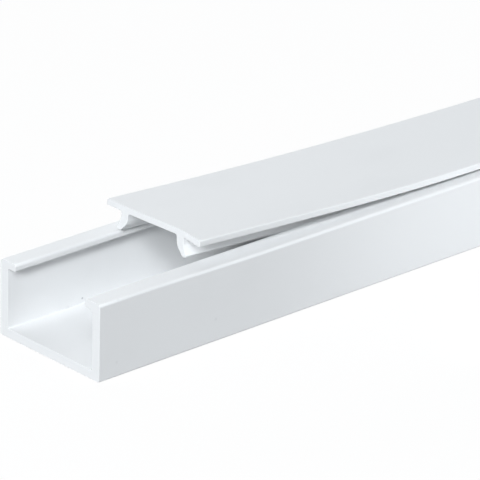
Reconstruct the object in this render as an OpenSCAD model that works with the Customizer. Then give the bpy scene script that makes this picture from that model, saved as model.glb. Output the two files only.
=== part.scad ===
// Mini cable trunking: an open tray with two inward lips, and a clip-in lid whose splayed legs
// hook under the lips. The lid is set back from the tray's near end and bends up towards it, its
// legs pressed together there to pass between the lips.
// The origin is at the middle of the tray's back face. +X runs along the length away from the
// near end, +Y is the far wall and +Z is up.

/* [Tray] */
// Length of the tray, and of its lid
stock_len = 1000; // [300:50:3000]
// Outside width of the tray
tray_w = 20; // [18:0.5:40]
// Outside height of the tray without its lid
tray_h = 11; // [8:0.1:25]
// Thickness of the side walls
wall_t = 1.5; // [1:0.1:1.8]
// Thickness of the floor
floor_t = 1.3; // [1:0.1:2]
// Reach of a lip from the outer face of its wall
lip_reach = 3; // [2.4:0.1:4]
// Thickness of a lip
lip_t = 1.05; // [0.9:0.05:1.6]
// Radius of the upper outside edges
top_r = 0.4; // [0.1:0.1:0.8]
// Radius of the lower outside edges and of the lip tips
edge_r = 0.25; // [0.05:0.05:0.4]
// Radius of the corners along the floor
inner_r = 0.3; // [0.1:0.1:0.8]
// Radius of the corners under the lips
lip_r = 0.6; // [0.1:0.1:1]

/* [Lid] */
// Distance of the lid's long edges inside the tray's outer faces
lid_inset = 0.8; // [0.2:0.1:1.5]
// Thickness of the lid's plate
plate_t = 0.9; // [0.7:0.05:1.5]
// Radius of the plate's long edges
plate_r = 0.3; // [0.05:0.05:0.3]
// Thickness of a leg's straight shank
leg_t = 1.35; // [0.9:0.05:1.6]
// Thickness of a leg's foot
foot_t = 1; // [0.7:0.05:1.2]
// Height of the foot's blunt outer side
foot_h = 0.4; // [0.35:0.05:0.6]
// Depth of a straight leg below the underside of the lips
hook_h = 1.6; // [1.2:0.05:2]
// Height of the curve that leads from the shank to the foot
curve_h = 2; // [1.6:0.05:2.2]
// Reach of the hook beyond the shank
hook_w = 0.7; // [0.5:0.05:0.9]
// Radius of the foot's outer corner and of the root's fillets
foot_r = 0.3; // [0.1:0.05:0.3]

/* [Snap fit] */
// Overlap of a splayed hook under its lip
catch = 0.2; // [0.1:0.05:0.4]
// Gap between the lid's plate and the top of the lips
seat_gap = 0.1; // [0.05:0.05:0.3]
// Gap between a pressed-in foot and the lip's tip
pass_gap = 0.1; // [0.05:0.05:0.3]

/* [Raised lid] */
// Set-back of the lid's end from the tray's near end
set_back = 18; // [0:0.1:60]
// Lift of the lid's near end above its seat
lid_lift = 3; // [1:0.1:6]
// Length of the stretch over which the lid bends up
bend_len = 92; // [60:1:200]

/* [Hidden] */
// Fineness of the small roundings
corner_fn = 48;
// Fineness of the shallow arcs along the length
arc_fn = 3600;
near_x = -stock_len / 2;
// Half width of the mouth between the lip tips
mouth = tray_w / 2 - lip_reach;
// The fillet under a lip ends where the rounding of the lip's tip begins
lip_fillet = min(lip_r, lip_reach - wall_t - edge_r);
lid_w = tray_w - 2 * lid_inset;
// The lid's section has its zero height at the underside of the plate
lid_z = tray_h + seat_gap;
leg_h = seat_gap + lip_t + hook_h;
shank_h = leg_h - curve_h;
// A leg turns about the middle of its root, from pressed in to pass the lips to splayed under them
pressed_foot = mouth - pass_gap;
splayed_foot = mouth + catch;
heel_y = leg_t / 2 + hook_w;
heel_z = leg_h - foot_h;
pivot_y = pressed_foot - heel_y;
splay = asin((splayed_foot - pivot_y) / norm([heel_y, heel_z])) - atan2(heel_y, heel_z);
// The two faces of the hook are arcs that leave the shank without a kink
toe_w = leg_t + hook_w - foot_t;
inner_arc = (toe_w * toe_w + curve_h * curve_h) / (2 * toe_w);
heel_h = curve_h - foot_h;
outer_arc = (hook_w * hook_w + heel_h * heel_h) / (2 * hook_w);
// The bend is one arc, tangent to the clipped stretch
bend_r = (bend_len * bend_len + lid_lift * lid_lift) / (2 * lid_lift);
bend_angle = asin(bend_len / bend_r);
bend_x = near_x + set_back + bend_len;
flat_len = stock_len - bend_r * bend_angle * PI / 180;

// The sliver between the corner of two lines and its rounding, from +X round by an angle
module fillet(r, angle = 90) {
    reach = r / tan(angle / 2);
    difference() {
        polygon([[0, 0], [reach, 0], [reach, r], [reach * cos(angle), reach * sin(angle)]]);
        translate([reach, r]) circle(r, $fn = corner_fn);
    }
}

// The far half of the tray's section
module tray_half() {
    inner_y = tray_w / 2 - wall_t;
    lip_under = tray_h - lip_t;
    difference() {
        square([tray_w / 2, tray_h]);
        translate([0, floor_t]) square([inner_y, lip_under - floor_t]);
        translate([0, floor_t]) square([mouth, tray_h]);
        translate([tray_w / 2, tray_h]) rotate(180) fillet(top_r);
        translate([tray_w / 2, 0]) rotate(90) fillet(edge_r);
        translate([mouth, tray_h]) rotate(-90) fillet(edge_r);
        translate([mouth, lip_under]) fillet(edge_r);
    }
    translate([inner_y, floor_t]) rotate(90) fillet(inner_r);
    translate([inner_y, lip_under]) rotate(180) fillet(lip_fillet);
}

module tray_section() {
    tray_half();
    mirror([1, 0]) tray_half();
}

module plate_section() {
    difference() {
        translate([-lid_w / 2, 0]) square([lid_w, plate_t]);
        for (side = [0, 1]) mirror([side, 0]) {
            translate([lid_w / 2, plate_t]) rotate(180) fillet(plate_r);
            translate([lid_w / 2, 0]) rotate(90) fillet(plate_r);
        }
    }
}

// The curved hook of the far leg, hung from the outer face of its shank
module hook_section() {
    difference() {
        intersection() {
            translate([-inner_arc, -curve_h]) square([inner_arc + hook_w, curve_h]);
            translate([inner_arc - leg_t, 0]) circle(inner_arc, $fn = arc_fn);
        }
        translate([outer_arc, 0]) circle(outer_arc, $fn = arc_fn);
        translate([hook_w, -curve_h]) rotate(90) fillet(foot_r);
    }
}

// The far leg, rooted inside the plate and turned outwards by an angle
module leg_section(angle) {
    root_w = leg_t / 2 / cos(angle);
    translate([pivot_y, 0]) {
        rotate(angle) {
            translate([-leg_t / 2, -shank_h]) square([leg_t, shank_h + plate_t / 2]);
            translate([leg_t / 2, -shank_h]) hook_section();
        }
        translate([root_w, 0]) rotate(angle - 90) fillet(foot_r, 90 - angle);
        translate([-root_w, 0]) rotate(180) fillet(foot_r, 90 + angle);
    }
}

module lid_section(angle) {
    plate_section();
    for (side = [0, 1]) mirror([side, 0]) leg_section(angle);
}

// A section in the YZ plane, drawn out along +X
module run(length) {
    rotate([90, 0, 90]) linear_extrude(length) children();
}

// A section carried back and up along the bend
module bent() {
    translate([bend_x, 0, lid_z + bend_r]) rotate([-90, 90, 0])
        rotate_extrude(angle = bend_angle, $fn = arc_fn)
            translate([bend_r, 0]) rotate(90) children();
}

module tray() {
    color("white") translate([near_x, 0, 0]) run(stock_len) tray_section();
}

module lid() {
    color("whitesmoke") {
        bent() lid_section(0);
        translate([bend_x, 0, lid_z]) run(flat_len) lid_section(splay);
    }
}

tray();
lid();
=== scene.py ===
import math

import bmesh
import bpy
from mathutils import Matrix, Vector


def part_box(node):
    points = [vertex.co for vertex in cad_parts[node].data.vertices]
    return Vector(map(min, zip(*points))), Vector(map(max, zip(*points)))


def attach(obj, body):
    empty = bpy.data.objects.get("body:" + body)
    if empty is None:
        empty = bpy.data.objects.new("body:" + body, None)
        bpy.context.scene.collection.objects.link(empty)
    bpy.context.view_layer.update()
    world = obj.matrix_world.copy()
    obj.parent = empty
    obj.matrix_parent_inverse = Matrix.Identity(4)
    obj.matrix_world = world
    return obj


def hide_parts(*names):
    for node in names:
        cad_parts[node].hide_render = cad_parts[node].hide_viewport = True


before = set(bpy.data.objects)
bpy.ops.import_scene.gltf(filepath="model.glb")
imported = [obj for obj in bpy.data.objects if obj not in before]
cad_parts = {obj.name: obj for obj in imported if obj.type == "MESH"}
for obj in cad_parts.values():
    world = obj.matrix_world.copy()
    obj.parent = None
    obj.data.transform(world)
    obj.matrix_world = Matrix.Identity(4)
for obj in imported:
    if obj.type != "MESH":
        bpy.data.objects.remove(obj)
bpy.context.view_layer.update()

# The tray
# One length of rigid white PVC, extruded through a die as an open channel with two inward lips,
# and sawn square at both ends. Its flat back lies on the wall, held by glue, tape or screws.
mm = 0.001
scene = bpy.context.scene
tray_low, tray_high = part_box("tray")
tray_length = tray_high.x - tray_low.x
wall_thickness = 1.5 * mm
floor_thickness = 1.3 * mm
lip_reach = 3 * mm
lip_thickness = 1.05 * mm
top_round = 0.4 * mm
edge_round = 0.25 * mm
floor_round = 0.03 * mm
far_tip_round = 0.4 * mm
far_lip_round = 0.15 * mm
near_lip_round = 0.9 * mm
lip_underside = tray_high.z - lip_thickness
wall_inside = tray_high.y - wall_thickness
lip_tip = tray_high.y - lip_reach
round_segments = 8
tray_slices = 200
pvc_refraction = 1.53


class Socket:
    """An output in a material's nodes. Sums on it add Math nodes, and node() adds any other."""

    def __init__(self, tree, output=None):
        self.tree = tree
        self.output = output

    def node(self, kind, settings=(), inputs=(), output=0):
        """A new node of this kind: its settings first, then the values or links of its inputs."""
        made = self.tree.nodes.new(kind)
        for name, value in dict(settings).items():
            setattr(made, name, value)
        for name, value in dict(inputs).items():
            if isinstance(value, Socket):
                self.tree.links.new(value.output, made.inputs[name])
            else:
                made.inputs[name].default_value = value
        return Socket(self.tree, made.outputs[output] if made.outputs else None)

    def math(self, operation, first, second):
        return self.node("ShaderNodeMath", {"operation": operation}, {0: first, 1: second})

    def __add__(self, other):
        return self.math("ADD", self, other)

    def __radd__(self, other):
        return self.math("ADD", other, self)

    def __sub__(self, other):
        return self.math("SUBTRACT", self, other)

    def __rsub__(self, other):
        return self.math("SUBTRACT", other, self)

    def __mul__(self, other):
        return self.math("MULTIPLY", self, other)

    def __rmul__(self, other):
        return self.math("MULTIPLY", other, self)


def new_material(name):
    """A new material, its shader node and the place on the piece."""
    material = bpy.data.materials.new(name)
    material.use_nodes = True
    tree = material.node_tree
    place = Socket(tree).node("ShaderNodeTexCoord", output="Object")
    return material, tree.nodes["Principled BSDF"], place


def noise(place, scale, detail):
    """Noise with this many waves to the metre along each axis."""
    stretched = place.node("ShaderNodeMapping", inputs={"Vector": place, "Scale": scale})
    return place.node(
        "ShaderNodeTexNoise",
        inputs={"Vector": stretched, "Scale": 1.0, "Detail": detail},
        output="Fac",
    )


def ramp(place, value, low, high):
    """0 below low, 1 above high and smooth between them."""
    return place.node(
        "ShaderNodeMapRange",
        {"interpolation_type": "SMOOTHSTEP"},
        {"Value": value, "From Min": low, "From Max": high},
    )


def mixed_colour(place, share, first, second):
    """The first colour with this share of the second. Sockets 6 and 7 of the node are its colours."""
    return place.node(
        "ShaderNodeMix", {"data_type": "RGBA"}, {0: share, 6: first, 7: second}, "Result"
    )


def fill(shader, **inputs):
    """Sets or links the shader's own sockets; a name's _ stands for a space."""
    for name, value in inputs.items():
        target = shader.inputs[name.replace("_", " ")]
        if isinstance(value, Socket):
            value.tree.links.new(value.output, target)
        else:
            target.default_value = value


def extruded_pvc(name, specks=()):
    """Satin white PVC: clouded pigment, die lines along the length and duller handled patches."""
    dim_white = (0.83, 0.838, 0.844, 1)
    clear_white = (0.85, 0.858, 0.864, 1)
    handled_grey = (0.67, 0.676, 0.681, 1)
    handled_share = 0.05
    speck_grey = (0.3, 0.31, 0.33, 1)
    speck_core = 0.4
    line_depth = 0.03 * mm
    material, shader, place = new_material(name)
    clouds = noise(place, (9, 38, 38), detail=2.0)
    die_lines = noise(place, (3, 900, 900), detail=3.0)
    fine_lines = noise(place, (12, 3600, 3600), detail=1.0)
    handled = ramp(place, noise(place, (60, 110, 110), detail=3.0), low=0.52, high=0.72)
    grain = noise(place, (5200, 5200, 5200), detail=1.0)
    colour = mixed_colour(place, clouds, dim_white, clear_white)
    colour = mixed_colour(place, handled * handled_share, colour, handled_grey)
    for centre, radius, strength in specks:
        away = place.node("ShaderNodeVectorMath", {"operation": "DISTANCE"},
                          {0: place, 1: centre}, "Value")
        speck = 1.0 - ramp(place, away, speck_core * radius, radius)
        colour = mixed_colour(place, speck * strength, colour, speck_grey)
    height = 0.6 * die_lines + 0.25 * fine_lines + 0.15 * grain
    bumped = place.node("ShaderNodeBump",
                        inputs={"Height": height, "Strength": 0.2, "Distance": line_depth})
    fill(
        shader,
        Base_Color=colour,
        Roughness=0.55 + 0.08 * die_lines + 0.08 * handled,
        IOR=pvc_refraction,
        Normal=bumped,
    )
    return material


def sawn_pvc(name, painted_tone):
    """The matt cut end of the PVC, with the fine marks of the saw's teeth across it, in a brightness
    that paints in the end's light and shade.
    """
    dull = (0.975 * painted_tone, 0.985 * painted_tone, 0.992 * painted_tone, 1)
    pale = (1.01 * painted_tone, 1.02 * painted_tone, 1.027 * painted_tone, 1)
    mark_depth = 0.04 * mm
    material, shader, place = new_material(name)
    teeth = noise(place, (400, 500, 3800), detail=2.0)
    torn = noise(place, (2600, 2600, 2600), detail=3.0)
    colour = mixed_colour(place, teeth, dull, pale)
    height = 0.7 * teeth + 0.3 * torn
    bumped = place.node("ShaderNodeBump",
                        inputs={"Height": height, "Strength": 0.35, "Distance": mark_depth})
    fill(
        shader,
        Base_Color=colour,
        Roughness=0.5 + 0.15 * torn,
        IOR=pvc_refraction,
        Normal=bumped,
    )
    return material


def section(mesh, x, far_half, near_half):
    """The face across the length at x. A half's corners are (distance from the middle, z, rounding)."""
    corners = far_half + [(-y, z, rounding) for y, z, rounding in reversed(near_half)]
    points = [mesh.verts.new((x, y, z)) for y, z, rounding in corners]
    mesh.faces.new(points)
    for radius in sorted({rounding for y, z, rounding in corners}):
        sharp = [point for point, corner in zip(points, corners) if corner[2] == radius]
        bmesh.ops.bevel(mesh, geom=sharp, offset=radius, affect="VERTICES", segments=round_segments,
                        profile=0.5, material=-1)
    mesh.faces.ensure_lookup_table()
    return mesh.faces[0]


def draw_out(mesh, face, length):
    """Extrudes a section along +X."""
    made = bmesh.ops.extrude_face_region(mesh, geom=[face])["geom"]
    end = [part for part in made if isinstance(part, bmesh.types.BMVert)]
    bmesh.ops.translate(mesh, verts=end, vec=(length, 0, 0))


def saw_off(mesh):
    """Gives the two end faces the second material, and breaks their edges as a blade does."""
    facing_along = 0.9
    broken_edge = 0.04 * mm
    mesh.normal_update()
    cuts = [face for face in mesh.faces if abs(face.normal.x) > facing_along]
    for face in cuts:
        face.material_index = 1
    rims = list({edge for face in cuts for edge in face.edges})
    bmesh.ops.bevel(mesh, geom=rims, offset=broken_edge, affect="EDGES", segments=2, profile=0.5,
                    material=-1)


def finished(mesh, name, materials):
    """The object of a finished mesh, with even shading over flats and roundings."""
    merge_gap = 0.001 * mm
    bmesh.ops.remove_doubles(mesh, verts=mesh.verts, dist=merge_gap)
    bmesh.ops.recalc_face_normals(mesh, faces=mesh.faces)
    for face in mesh.faces:
        face.smooth = True
    data = bpy.data.meshes.new(name)
    mesh.to_mesh(data)
    mesh.free()
    for material in materials:
        data.materials.append(material)
    piece = bpy.data.objects.new(name, data)
    scene.collection.objects.link(piece)
    piece.modifiers.new("even_shading", "WEIGHTED_NORMAL").keep_sharp = True
    return piece


def tray_half(tip_round, lip_round):
    """Half of the tray's section, with these roundings on its lip's tip and in the corner under it."""
    return [
        (tray_high.y, tray_low.z, edge_round),
        (tray_high.y, tray_high.z, top_round),
        (lip_tip, tray_high.z, tip_round),
        (lip_tip, lip_underside, edge_round),
        (wall_inside, lip_underside, lip_round),
        (wall_inside, floor_thickness, floor_round),
    ]


mesh = bmesh.new()
far_half = tray_half(far_tip_round, far_lip_round)
near_half = tray_half(edge_round, near_lip_round)
near_face = section(mesh, tray_low.x, far_half, near_half)
draw_out(mesh, near_face, tray_length)
saw_off(mesh)
lengthwise = [edge for edge in mesh.edges if edge.calc_length() > tray_length / 2]
bmesh.ops.subdivide_edges(mesh, edges=lengthwise, cuts=tray_slices - 1)


def eased(value, low, high):
    """0 below low, 1 above high and smooth between them."""
    share = min(1.0, max(0.0, (value - low) / (high - low)))
    return share * share * (3 - 2 * share)


# Where the lid's feet are forced in between the lips, they push the top of the near wall outwards.
# The push rises and falls again between these distances from the near end.
wall_push = 0.6 * mm
push_rise = (5 * mm, 30 * mm)
push_fall = (60 * mm, 130 * mm)
for point in mesh.verts:
    along = point.co.x - tray_low.x
    pushed = eased(along, *push_rise) * (1 - eased(along, *push_fall))
    outwards = min(1.0, max(0.0, (-lip_tip - point.co.y) / lip_reach))
    point.co.y -= wall_push * pushed * outwards * point.co.z / tray_high.z

# Grey specks near the sawn end, two inside the far wall and three outside the near one. Each
# has its place, its radius and its strength.
near_end = tray_low.x
specks = [
    ((near_end + 13.0 * mm, wall_inside, 2.05 * mm), 0.2 * mm, 0.6),
    # A faint grey patch in the corner where the far wall meets the floor.
    ((near_end + 10.4 * mm, wall_inside, 1.4 * mm), 0.35 * mm, 0.08),
    ((near_end + 3.2 * mm, tray_low.y, tray_high.z), 0.4 * mm, 0.08),
    ((near_end + 20.3 * mm, tray_low.y, 3.35 * mm), 0.35 * mm, 0.1),
    ((near_end + 3.0 * mm, tray_low.y, 2.1 * mm), 0.3 * mm, 0.08),
]
# The tray's cut end is made lighter than the lid's, as painted light.
tray_finish = [extruded_pvc("tray_extruded_pvc", specks), sawn_pvc("tray_sawn_pvc_painted_light", painted_tone=0.86)]
tray = finished(mesh, "tray_channel", tray_finish)
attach(tray, "tray")
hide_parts("tray")

# The lid
# A second PVC extrusion of the same length: a thin plate with two legs whose feet hook under the
# tray's lips. It is slid back from the near end and bends up there, its feet pressed in to pass.
lid_low, lid_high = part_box("lid")
seat_gap = 0.1 * mm
seat_height = tray_high.z + seat_gap
plate_thickness = 0.9 * mm
upper_round = 0.2 * mm
lower_round = 0.12 * mm
leg_thickness = 1.35 * mm
leg_depth = seat_height - lid_low.z
root_round = 0.3 * mm
curve_height = 2 * mm
hook_reach = 0.55 * mm
heel_round = 0.1 * mm
foot_thickness = 0.7 * mm
foot_height = 0.4 * mm
foot_round = 0.26 * mm
toe_round = 0.12 * mm
knee_depth = 1.35 * mm
knee_round = 0.6 * mm
pass_gap = 0.25 * mm
catch = 0.2 * mm
free_gap = 0.15 * mm
pressed_reach = lip_tip - pass_gap
splayed_reach = lip_tip + catch
free_reach = lip_tip - free_gap
set_back = 18 * mm
bend_length = 92 * mm
bend_lift = 3 * mm
bend_start = tray_low.x + set_back + bend_length
bend_radius = (bend_length ** 2 + bend_lift ** 2) / (2 * bend_lift)
bend_angle = math.asin(bend_length / bend_radius)
bend_steps = 46

# The outer face of a hook is an arc that leaves the straight shank without a kink: one corner, at
# the crossing of its end tangents, with a rounding that takes up nearly all of their length. The
# inner face slopes from a rounded knee to the toe.
shank_end = seat_height - leg_depth + curve_height
leg_outside = pressed_reach - hook_reach
leg_inside = leg_outside - leg_thickness
heel_height = curve_height - foot_height
outer_tangent = (hook_reach ** 2 + heel_height ** 2) / (2 * heel_height)
tangent_left = 0.12 * mm
lid_half = [
    (lid_high.y, seat_height + plate_thickness, upper_round),
    (lid_high.y, seat_height, lower_round),
    (leg_outside, seat_height, root_round),
    (leg_outside, shank_end - outer_tangent, outer_tangent - tangent_left),
    (pressed_reach, shank_end - heel_height, heel_round),
    (pressed_reach, seat_height - leg_depth, foot_round),
    (pressed_reach - foot_thickness, seat_height - leg_depth, toe_round),
    (leg_inside, seat_height - knee_depth, knee_round),
    (leg_inside, seat_height, root_round),
]
mesh = bmesh.new()
near_face = section(mesh, bend_start, lid_half, lid_half)

# The plate's flats are wider than any edge of the legs. They are cut into strips that can bow.
widest_leg_edge = 2 * mm
plate_strips = 12
plate_flats = [edge for edge in mesh.edges if edge.calc_length() > widest_leg_edge]
bmesh.ops.bisect_edges(mesh, edges=plate_flats, cuts=plate_strips - 1)
draw_out(mesh, near_face, lid_high.x - bend_start)
bend_centre = Vector((bend_start, 0, seat_height + bend_radius))
bmesh.ops.spin(mesh, geom=[near_face], cent=bend_centre, axis=(0, 1, 0), angle=bend_angle,
               steps=bend_steps)
bmesh.ops.delete(mesh, geom=[near_face], context="FACES_ONLY")

# Where the lid lies low, its legs turn outwards about their roots until the feet hook the lips.
# Where it stands clear of the lips, they spring back a little and the end lies off centre. The
# plate bows up over the near leg there, and its near edge droops, most of all further along. Each
# of these changes between two lifts of the plate above its seat.
unhooking = (0.05 * mm, 0.95 * mm)
freeing = (2.3 * mm, 2.9 * mm)
shifting = (1.2 * mm, bend_lift)
bowing = (0.5 * mm, bend_lift)
drooping = (0.2 * mm, 0.9 * mm)
recovering = (1 * mm, 2.5 * mm)
free_shift = 0.25 * mm
bow_height = 0.24 * mm
droop_height = 0.28 * mm
droop_recovered = 0.7
leg_begins = 0.02 * mm
leg_pivot = leg_outside - leg_thickness / 2
heel_across = pressed_reach - leg_pivot
heel_down = leg_depth - foot_height


def swing_to(reach):
    """The angle by which a leg turns outwards for its heel to come to this reach."""
    turned = math.asin((reach - leg_pivot) / math.hypot(heel_across, heel_down))
    return turned - math.atan2(heel_across, heel_down)


# A point's depth is measured from the plate's underside, away from the centre of the bend.
for point in mesh.verts:
    spoke = point.co - bend_centre
    spoke.x = min(0.0, spoke.x)
    spoke.y = 0
    depth = spoke.length - bend_radius
    lift = bend_radius * (1 + spoke.normalized().z)
    in_leg = depth > leg_begins
    station = math.copysign(leg_pivot, point.co.y) if in_leg else point.co.y
    inboard = eased(station, lid_low.y, -leg_pivot)
    bow = bow_height * eased(lift, *bowing)
    bow *= inboard * (1 - eased(station, -leg_pivot, leg_pivot))
    droop = droop_height * eased(lift, *drooping) * (1 - droop_recovered * eased(lift, *recovering))
    droop *= eased(-station, leg_pivot, lid_high.y)
    if in_leg:
        hooked = 1 - eased(lift, *unhooking)
        freed = eased(lift, *freeing)
        swing = swing_to(splayed_reach) * hooked + swing_to(free_reach) * freed
        swing *= min(1.0, depth / root_round)
        offset = abs(point.co.y) - leg_pivot
        turned_offset = offset * math.cos(swing) + depth * math.sin(swing)
        turned_depth = depth * math.cos(swing) - offset * math.sin(swing)
        point.co += spoke.normalized() * (turned_depth - depth)
        point.co.y = math.copysign(leg_pivot + turned_offset, point.co.y)
    point.co += spoke.normalized() * (droop - bow)
    point.co.y += free_shift * eased(lift, *shifting) * inboard
saw_off(mesh)
# The lid's cut end is made darker than the tray's, as painted shade.
lid_finish = [extruded_pvc("lid_extruded_pvc"), sawn_pvc("lid_sawn_pvc_painted_shade", painted_tone=0.79)]
lid = finished(mesh, "lid_strip", lid_finish)
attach(lid, "lid")
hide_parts("lid")

# The floor and backdrop
# A plain white sweep. The camera and gloss see it as white paper, and close to the trunking a
# share of its own shading stays, so that it keeps the shadow.
floor_reach = 30
floor_drop = 0.05 * mm
paper_white = (1, 1, 1, 1)
bounce_grey = (0.3, 0.3, 0.3, 1)
shading_share = 0.08
shading_fade = (0.7, 1.4)
mesh = bmesh.new()
bmesh.ops.create_grid(mesh, x_segments=1, y_segments=1, size=floor_reach)
bmesh.ops.translate(mesh, verts=mesh.verts, vec=(0, 0, tray_low.z - floor_drop))
floor_data = bpy.data.meshes.new("floor")
mesh.to_mesh(floor_data)
mesh.free()
floor = bpy.data.objects.new("floor", floor_data)
scene.collection.objects.link(floor)


def seen_directly(start):
    """1 for rays of the camera, of gloss and through glass, and 0 for rays of diffuse light."""
    direct = start.node("ShaderNodeLightPath", output="Is Camera Ray")
    for other in ("Is Glossy Ray", "Is Transmission Ray"):
        direct = start.math("MAXIMUM", direct, start.node("ShaderNodeLightPath", output=other))
    return direct


paper = bpy.data.materials.new("white_sweep")
paper.use_nodes = True
paper.node_tree.nodes.clear()
start = Socket(paper.node_tree)
place = start.node("ShaderNodeTexCoord", output="Object")
away = start.node("ShaderNodeVectorMath", {"operation": "LENGTH"}, {0: place}, "Value")
shaded = shading_share - shading_share * ramp(start, away, *shading_fade)
paper_colour = mixed_colour(start, seen_directly(start), bounce_grey, paper_white)
lit = start.node("ShaderNodeBsdfDiffuse", inputs={"Color": paper_colour})
white = start.node("ShaderNodeEmission", inputs={"Color": paper_white, "Strength": 1.0})
surface = start.node("ShaderNodeMixShader",
                     inputs={0: seen_directly(start) * (1.0 - shaded), 1: lit, 2: white})
start.node("ShaderNodeOutputMaterial", inputs={"Surface": surface})
floor_data.materials.append(paper)

# The studio light
# Soft boxes on a dome about the near end, a wide box above, long strips along the front and the
# back, and a faint even surround.
surround = bpy.data.worlds.new("surround")
scene.world = surround
surround.use_nodes = True
surround.node_tree.nodes.clear()
start = Socket(surround.node_tree)
dim = start.node("ShaderNodeBackground", inputs={"Color": paper_white, "Strength": 0.05})
bright = start.node("ShaderNodeBackground", inputs={"Color": paper_white, "Strength": 1.0})
surface = start.node("ShaderNodeMixShader", inputs={0: seen_directly(start), 1: dim, 2: bright})
start.node("ShaderNodeOutputWorld", inputs={"Surface": surface})
cool_white = (0.94, 0.972, 1)
dome_centre = Vector((tray_low.x + 50 * mm, 0, 10 * mm))
dome_radius = 1.3
dome_box_side = 0.3


def softbox(name, place, aim, width, height, power):
    """A rectangular soft box at a place, turned to its aim."""
    lamp = bpy.data.lights.new(name, "AREA")
    lamp.shape = "RECTANGLE"
    lamp.size = width
    lamp.size_y = height
    lamp.energy = power
    lamp.color = cool_white
    box = bpy.data.objects.new(name, lamp)
    box.location = place
    box.rotation_euler = (Vector(aim) - Vector(place)).to_track_quat("-Z", "Y").to_euler()
    box.visible_camera = False
    scene.collection.objects.link(box)


def dome_box(name, azimuth, elevation, power):
    """A soft box on the dome, at these angles in degrees from +X round to +Y and from the floor up."""
    turn = math.radians(azimuth)
    rise = math.radians(elevation)
    out = Vector((math.cos(turn) * math.cos(rise), math.sin(turn) * math.cos(rise), math.sin(rise)))
    softbox(name, dome_centre + dome_radius * out, dome_centre, dome_box_side, dome_box_side, power)


def middle_at(x):
    """A point in the middle of the trunking's section."""
    return (x, 0, 6 * mm)


dome_box("low_key_box", azimuth=205, elevation=28, power=11.6)
dome_box("high_key_box", azimuth=221, elevation=40, power=7.3)
dome_box("front_box", azimuth=237, elevation=28, power=0.9)
softbox("top_box", (0, 0.6, 1.15), middle_at(0), width=1.2, height=0.9, power=3.3)
softbox("low_front_strip", (0.02, -0.04, 0.007), middle_at(0.02), width=0.95, height=0.01, power=0.065)
softbox("high_front_strip", (0.1, -0.3, 0.2), middle_at(0.1), width=1, height=0.1, power=0.38)
softbox("back_strip", (0, 1.4, 0.3), middle_at(0), width=1.2, height=0.4, power=9)

# The camera
# It looks down on the near end from the front left, with a long lens, as in the photograph.
# The far lower corner of the near end lies at a known pixel and depth, which places the camera.
image_side = 480
focal_pixels = 4232
corner_pixel = (0.6, 334.0)
corner_depth = 562.8 * mm
corner = Vector((tray_low.x, tray_high.y, tray_low.z))
turn = math.radians(43.24)
tilt = math.radians(23.11)
roll = math.radians(1.53)
level = Vector((math.cos(turn), -math.sin(turn), 0))
forward = Vector((math.sin(turn) * math.cos(tilt), math.cos(turn) * math.cos(tilt), -math.sin(tilt)))
upward = level.cross(forward)
right = level * math.cos(roll) + upward * math.sin(roll)
up = upward * math.cos(roll) - level * math.sin(roll)
pixel = corner_depth / focal_pixels
across = (image_side / 2 - corner_pixel[0]) * pixel
above = (corner_pixel[1] - image_side / 2) * pixel
eye = corner + right * across + up * above - forward * corner_depth
lens = bpy.data.cameras.new("camera")
lens.sensor_width = 36
lens.lens = lens.sensor_width * focal_pixels / image_side
camera = bpy.data.objects.new("camera", lens)
camera.matrix_world = Matrix.Translation(eye) @ Matrix((right, up, -forward)).transposed().to_4x4()
scene.collection.objects.link(camera)
scene.camera = camera
scene.view_settings.view_transform = "Standard"
